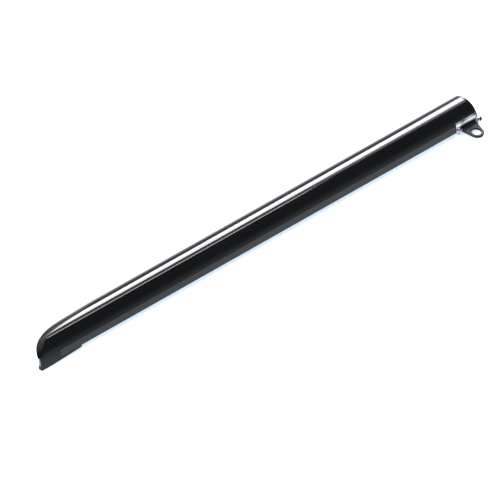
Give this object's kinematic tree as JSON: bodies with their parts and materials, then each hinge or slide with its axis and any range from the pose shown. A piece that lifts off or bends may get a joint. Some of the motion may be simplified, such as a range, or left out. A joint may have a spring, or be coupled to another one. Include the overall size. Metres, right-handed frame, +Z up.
{
  "type": "long shoehorn",
  "caption": "Long half-round shoehorn with a gloss cover over a metal channel, a slanted nose, a nylon toe piece, and a chrome saddle with a hinged hanging tab.",
  "frame": {"origin": "on the resting surface, under the middle of the part's box, with the tab lying out at rest", "axes": "+X along the rail from the slanted nose to the hanging end; the tab side is -Y; +Z up, with the hollow side of the rail down"},
  "size_m": [0.6207, 0.0588, 0.0245],
  "materials": {
    "gloss_cover": "gloss black, moulded",
    "polished_steel": "polished stainless steel",
    "foam_tape": "double-sided bonding tape",
    "matte_nylon": "matte black nylon",
    "pad_rubber": "soft black rubber",
    "zinc_screws": "zinc plated",
    "chrome_plate": "bright chrome plate",
    "cap_black": "satin black cap",
    "washer_nylon": "natural nylon",
    "tab_black": "satin black moulding"
  },
  "bodies": {
    "rail": {"outer_shell": "gloss_cover", "inner_channel": "polished_steel", "bond_tapes": "foam_tape", "toe_piece": "matte_nylon", "toe_skid": "pad_rubber", "toe_screws": "zinc_screws", "end_block": "matte_nylon", "end_pads": "pad_rubber", "end_saddle": "chrome_plate", "saddle_screws": "zinc_screws", "hinge_pin": "polished_steel", "pin_cap": "cap_black", "tab_washers": "washer_nylon"},
    "tab": {"hang_tab": "tab_black"}
  },
  "joints": [
    {"name": "tab_hinge", "type": "hinge", "parent": "rail", "child": "tab", "pos_m": [0.29125, -0.00857, 0.0045], "axis": [1, 0, 0], "range_deg": [-45, 95]}
  ]
}
